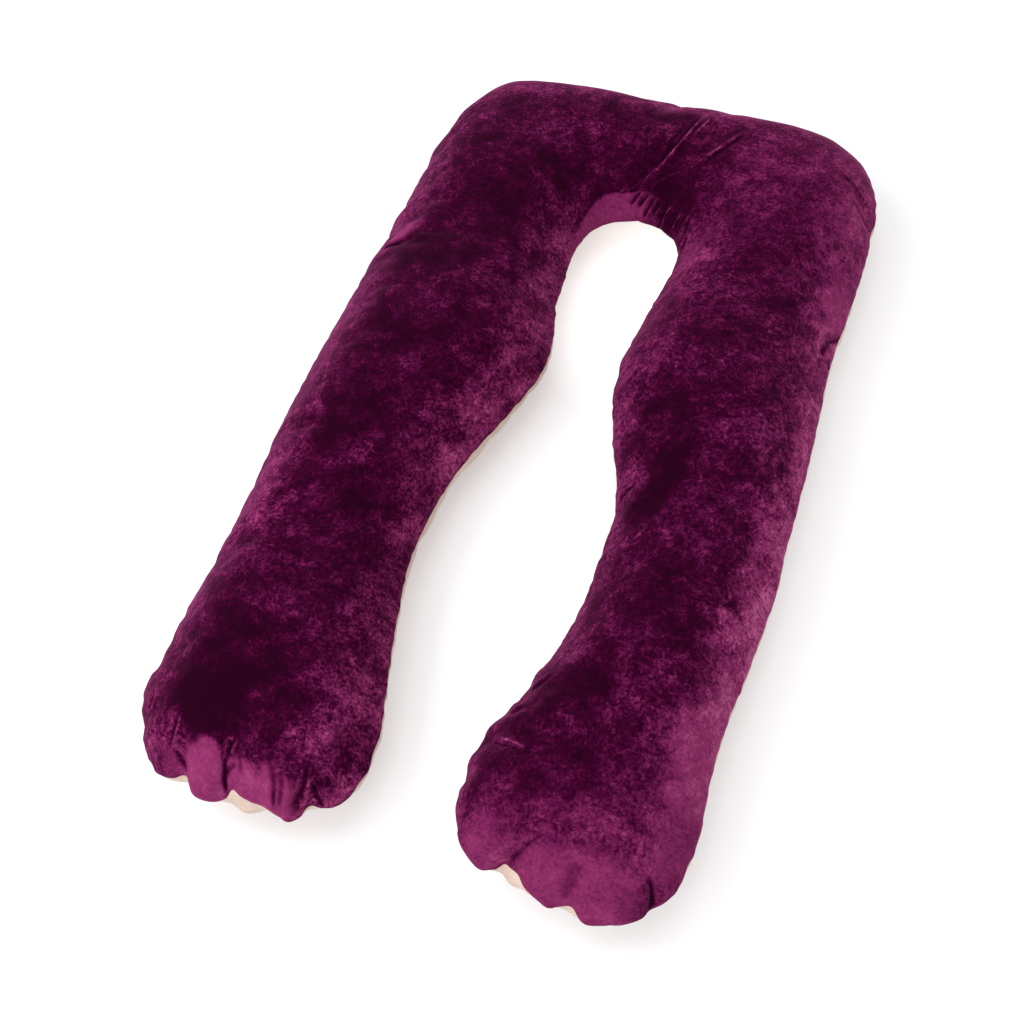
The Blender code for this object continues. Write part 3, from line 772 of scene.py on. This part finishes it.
# ---------------------------------------------------------------- the lie of the pile, with painted sheen and shade

def oval(points, stroke):
    """The stroke's strength in its middle, falling to 0 at its border."""
    turn = math.radians(stroke.turn)
    x, y = points[:, 0] - stroke.x, points[:, 1] - stroke.y
    along = (x * math.cos(turn) + y * math.sin(turn)) / stroke.length
    across = (y * math.cos(turn) - x * math.sin(turn)) / stroke.width
    out = (np.abs(along) ** SQUARED + np.abs(across) ** SQUARED) ** (1 / SQUARED)
    return stroke.strength * (1 - smooth_step(out, 1 - stroke.softness, 1 + stroke.softness))


def strongest(points, strokes):
    """The strength of the strongest stroke at each point."""
    strength = np.zeros(len(points))
    for stroke in strokes:
        strength = np.maximum(strength, oval(points, stroke))
    return strength


def painted_sheen_on_walls(points, normals):
    """Painted sheen on the steep walls, most on those that face one way, fading to painted shade
    at the seam.
    """
    towards_painted_sheen = normals[:, 0] * PAINTED_SHEEN_FACING[0] + normals[:, 1] * PAINTED_SHEEN_FACING[1]
    steep = 1 - smooth_step(normals[:, 2], STEEP_NORMAL, FLAT_NORMAL)
    steep *= SHEEN_LEFT_AT_SEAM + (1 - SHEEN_LEFT_AT_SEAM) * smooth_step(normals[:, 2], 0, SEAM_NORMAL)
    patches = 1 + WALL_PATCHES * waves(points, WALL_PATCH_LENGTH, seed=13)
    light = steep * (PAINTED_WALL_SHEEN + PAINTED_FACING_SHEEN * towards_painted_sheen) * patches
    # the painted sheen is mostly taken out above the arch
    above_arch = np.ones(len(points))
    for axis, (low, high) in enumerate(ARCH_DARK):
        middle, reach = (low + high) / 2, (high - low) / 2
        off = np.abs(points[:, axis] - middle)
        above_arch *= 1 - smooth_step(off, ARCH_DARK_CORE * reach, reach)
    return light * (1 - ARCH_DARK_SHARE * above_arch)


# painted sheen on the arch's wall, in a band with a crisp upper edge, where the pile also lies
# smooth
def sheen_band_round_arch(points):
    band_top = seam_height(points) + ARCH_BAND_SLOPE * (points[:, 1] - ARCH_BAND_Y[0])
    in_band = ((points[:, 0] > ARCH_BAND_FROM_X)
               & (points[:, 1] > ARCH_BAND_Y[0]) & (points[:, 1] < ARCH_BAND_Y[1]))
    band = in_band * smooth_step(band_top - points[:, 2], 0, ARCH_BAND_EDGE)
    return band * (ARCH_BAND_LIGHT * (1 - smooth_step(points[:, 0], *ARCH_BAND_END_X)))


def comb_pile(panel):
    """Stores how light, how dark and how flat the pile is at each point of the velvet, painted
    sheen, highlights and shade included.
    """
    points = points_of(panel)
    ragged = points + RAGGED_EDGE * np.stack(
        [waves(points, RAGGED_LENGTH, seed=11), waves(points, RAGGED_LENGTH, seed=12),
         0 * points[:, 2]], axis=1)
    flat = strongest(points + (ragged - points) / FLAT_NEATER, FLAT_PILE_AND_SHEEN)
    flat = np.maximum(flat, sheen_band_round_arch(points))
    light = np.maximum(painted_sheen_on_walls(points, normals_of(panel)), strongest(ragged, LIGHT_PILE_AND_SHEEN))
    light = np.maximum(light, flat)
    flat = np.minimum(1, flat / FULLY_FLAT)
    dark = strongest(ragged, DARK_BLOTCHES)
    # painted highlights on the crease crests, and painted shade in their furrows
    for crease in CREASES:
        near, right, away, strength = across_crease(points, crease)
        crest = np.exp(-(away / CREST_SHARPNESS) ** 2) * crease.crest
        crest *= CREST_SHARE + CREST_PATCHES * waves(points[near], CREST_PATCH_LENGTH, seed=14)
        beside = right * math.copysign(1, crease.furrow) - FURROW_PLACE
        shade = np.exp(-(beside / FURROW_SHADE) ** 2) * abs(crease.furrow)
        shade = strength * np.minimum(1, shade * PAINTED_FURROW_SHADE)
        light[near] = np.maximum(light[near], strength * np.minimum(1, crest * PAINTED_CREST_HIGHLIGHT))
        light[near] *= 1 - shade
        dark[near] = np.maximum(dark[near], shade)
    for label, values in (("pile_light_and_sheen", light), ("pile_dark_and_shade", dark), ("pile_flat", flat)):
        attribute = panel.data.attributes.new(label, "FLOAT", "POINT")
        attribute.data.foreach_set("value", values.astype(np.float32))


# ---------------------------------------------------------------- materials

class Nodes:
    """Adds nodes to one material and links them."""

    def __init__(self, name):
        self.material = bpy.data.materials.new(name)
        self.material.use_nodes = True
        self.tree = self.material.node_tree
        self.shader = self.tree.nodes["Principled BSDF"]
        self.noises = []

    def add(self, kind, inputs=None, **settings):
        """A new node with values or links in its inputs."""
        node = self.tree.nodes.new(kind)
        for key, value in settings.items():
            setattr(node, key, value)
        for key, value in (inputs or {}).items():
            self.feed(node.inputs[key], value)
        return node

    def shade(self, inputs):
        """Feeds the material's shader, and gives the material."""
        for key, value in inputs.items():
            self.feed(self.shader.inputs[key], value)
        return self.material

    def feed(self, socket, value):
        if isinstance(value, bpy.types.NodeSocket):
            self.tree.links.new(value, socket)
        else:
            socket.default_value = value

    def math(self, operation, *values, clamp=False):
        node = self.add("ShaderNodeMath", operation=operation, use_clamp=clamp)
        for socket, value in zip(node.inputs, values):
            self.feed(socket, value)
        return node.outputs[0]

    def weighted(self, *shares, start=0.0):
        """The sum of several values, each times its weight; noises count from their middle."""
        total = start - sum(weight / 2 for value, weight in shares if value in self.noises)
        for value, weight in shares:
            total = self.math("ADD", total, self.math("MULTIPLY", value, weight))
        return total

    def scaled(self, value, times, plus, clamp=False):
        """The value times one number, plus another."""
        return self.math("ADD", plus, self.math("MULTIPLY", value, times), clamp=clamp)

    def noise(self, vector, mottle):
        value = self.add("ShaderNodeTexNoise", {
            "Vector": vector, "Scale": mottle.scale, "Detail": mottle.detail,
            "Roughness": mottle.roughness, "Distortion": mottle.distortion,
        }).outputs["Fac"]
        self.noises.append(value)
        return value

    def ramp(self, factor, stops):
        node = self.add("ShaderNodeValToRGB", {"Fac": factor})
        elements = node.color_ramp.elements
        while len(elements) < len(stops):
            elements.new(0.5)
        for element, (position, colour) in zip(elements, stops):
            element.position = position
            element.color = (*colour, 1.0)
        return node.outputs["Color"]

    def bump(self, height, strength, distance):
        node = self.add("ShaderNodeBump", {
            "Height": height, "Strength": strength, "Distance": distance})
        return node.outputs["Normal"]


def crushed_velvet():
    """Short plum pile, crushed into a mottle of standing and flattened tufts, coloured too with
    the painted sheen, highlights and shade stored on the panel.
    """
    n = Nodes("plum_crushed_velvet")
    place = n.add("ShaderNodeTexCoord").outputs["Object"]
    push = n.add("ShaderNodeTexNoise", {"Vector": place, "Scale": PUSH_SCALE, "Detail": 2.0})
    moved = n.add("ShaderNodeVectorMath", operation="MULTIPLY_ADD")
    for socket, value in zip(moved.inputs, (push.outputs["Color"], (PUSH_REACH,) * 3, place)):
        n.feed(socket, value)
    pushed = moved.outputs[0]

    clouds, patches = n.noise(place, CLOUDS), n.noise(pushed, PATCHES)
    flecks, hairs = n.noise(pushed, FLECKS), n.noise(place, HAIRS)
    light, dark, flat = (n.add("ShaderNodeAttribute", attribute_name=label).outputs["Fac"]
                         for label in ("pile_light_and_sheen", "pile_dark_and_shade", "pile_flat"))

    calm = n.scaled(flat, -FLAT_CALM, 1.0)
    crushed = n.weighted((clouds, CLOUDS.share), (patches, PATCHES.share))
    mottle = n.math("MULTIPLY", crushed, calm)
    broad = n.weighted((mottle, 1.0), (light, LIGHT_SHARE), (dark, DARK_SHARE), start=PILE_TONE)
    lively = n.math("MULTIPLY", calm, n.scaled(broad, *TUFT_CONTRAST, clamp=True))
    fine = n.weighted((flecks, FLECKS.share), (hairs, HAIRS.share))
    tufts = n.math("MULTIPLY", fine, lively)
    return n.shade({
        "Base Color": n.ramp(n.math("ADD", broad, tufts), PLUM_TONES),
        "Normal": n.bump(tufts, *PILE_RELIEF),
        "Roughness": n.scaled(hairs, *PILE_ROUGHNESS),
        "Specular IOR Level": 0.015,
        "Sheen Weight": 0.30,
        "Sheen Roughness": 0.35,
        "Sheen Tint": PLUM_SHEEN,
    })


def woven_cotton():
    """Plain cream cotton: a fine weave, a little uneven, softly wrinkled."""
    n = Nodes("cream_woven_cotton")
    place = n.add("ShaderNodeTexCoord").outputs["Object"]
    warp, weft = (
        n.add("ShaderNodeTexWave", {
            "Vector": place, "Scale": WEAVE_SCALE, "Distortion": WEAVE_UNEVEN,
        }, bands_direction=direction).outputs["Fac"]
        for direction in ("X", "Y")
    )
    weave = n.math("MULTIPLY", n.math("ADD", warp, weft), WEAVE_DEPTH / 2)
    yellowing, slubs = n.noise(place, YELLOWING), n.noise(place, SLUBS)
    wrinkles = n.noise(place, WRINKLES)
    tone = n.math("ADD", n.math("MULTIPLY", yellowing, YELLOWING.share),
                  n.math("MULTIPLY", slubs, SLUBS.share))
    return n.shade({
        "Base Color": n.ramp(tone, CREAM_TONES),
        "Normal": n.bump(n.math("ADD", weave, wrinkles), *COTTON_RELIEF),
        "Roughness": n.scaled(slubs, *COTTON_ROUGHNESS),
        "Specular IOR Level": 0.25,
        "Sheen Weight": 0.12,
        "Sheen Roughness": 0.5,
    })


# ---------------------------------------------------------------- floor, light and camera

def pale_paper():
    """White paper that glows softly, with a painted pool of light between the arms under the arch.
    """
    n = Nodes("pale_paper")
    place = n.add("ShaderNodeTexCoord").outputs["Object"]
    (x, y), (width, length) = ARCH_GLOW_CENTRE, ARCH_GLOW_REACH
    spread = n.add("ShaderNodeMapping", {
        "Vector": place, "Scale": (1 / width, 1 / length, 1),
        "Location": (-x / width, -y / length, 0)})
    # a painted pool of light under the arch, where the arms' shade would fall
    glow = n.add("ShaderNodeTexGradient", {"Vector": spread.outputs[0]}, gradient_type="SPHERICAL")
    return n.shade({
        "Base Color": PAPER_COLOUR,
        "Emission Color": (1, 1, 1, 1),
        "Emission Strength": n.scaled(glow.outputs["Fac"], ARCH_GLOW, PAPER_GLOW),
        "Roughness": 0.9,
        "Specular IOR Level": 0.1,
    })


def studio():
    """Paper on the floor, soft lights round the pillow and a white room."""
    scene = bpy.context.scene
    bpy.ops.mesh.primitive_plane_add(size=PAPER_SIZE, location=(0, 0, FLOOR_Z - PAPER_GAP))
    floor = bpy.context.object
    floor.name = "floor"
    floor.data.materials.append(pale_paper())

    world = bpy.data.worlds.new("studio")
    world.use_nodes = True
    background = world.node_tree.nodes["Background"]
    background.inputs["Color"].default_value = (1, 1, 1, 1)
    background.inputs["Strength"].default_value = ROOM_LIGHT
    scene.world = world
    for name, (place, size, power) in SOFTBOXES.items():
        bpy.ops.object.light_add(type="AREA", location=place)
        lamp = bpy.context.object
        lamp.name = name
        lamp.data.size = size
        lamp.data.energy = power
        lamp.rotation_mode = "QUATERNION"
        lamp.rotation_quaternion = (-Vector(place)).to_track_quat("-Z", "Y")
    scene.view_settings.view_transform = "Standard"


def camera():
    """The photograph's point of view."""
    down, yaw = math.radians(CAMERA_LOOKS_DOWN), math.radians(CAMERA_YAW)
    forward = Vector((math.sin(yaw) * math.cos(down), math.cos(yaw) * math.cos(down),
                      -math.sin(down)))
    roll = Quaternion((0, 0, 1), math.radians(CAMERA_ROLL))
    bpy.ops.object.camera_add(location=CAMERA_PLACE)
    shot = bpy.context.object
    shot.rotation_mode = "QUATERNION"
    shot.rotation_quaternion = forward.to_track_quat("-Z", "Y") @ roll
    shot.data.lens = CAMERA_LENS
    shot.data.sensor_width = CAMERA_SENSOR
    shot.data.clip_end = CAMERA_FAR
    bpy.context.scene.camera = shot


# ---------------------------------------------------------------- making it

def finish_panel(panel, node, material):
    """The panel gets its cloth, and stands for the CAD node."""
    panel.data.materials.clear()
    panel.data.materials.append(material)
    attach(panel, "root")
    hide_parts(node)


def main():
    camera()
    studio()
    cushion = whole_cushion()
    puff_up(cushion)
    subdivide(cushion)
    fill_out_walls(cushion)
    refine_creases(cushion)
    work_creases(cushion)
    draw_in_seam(cushion)
    top = part_at_seam(cushion, "velvet_panel", above=True)
    underside = part_at_seam(cushion, "cotton_panel", above=False)
    bpy.data.objects.remove(cushion)
    comb_pile(top)
    finish_panel(top, TOP, crushed_velvet())
    finish_panel(underside, UNDERSIDE, woven_cotton())


main()
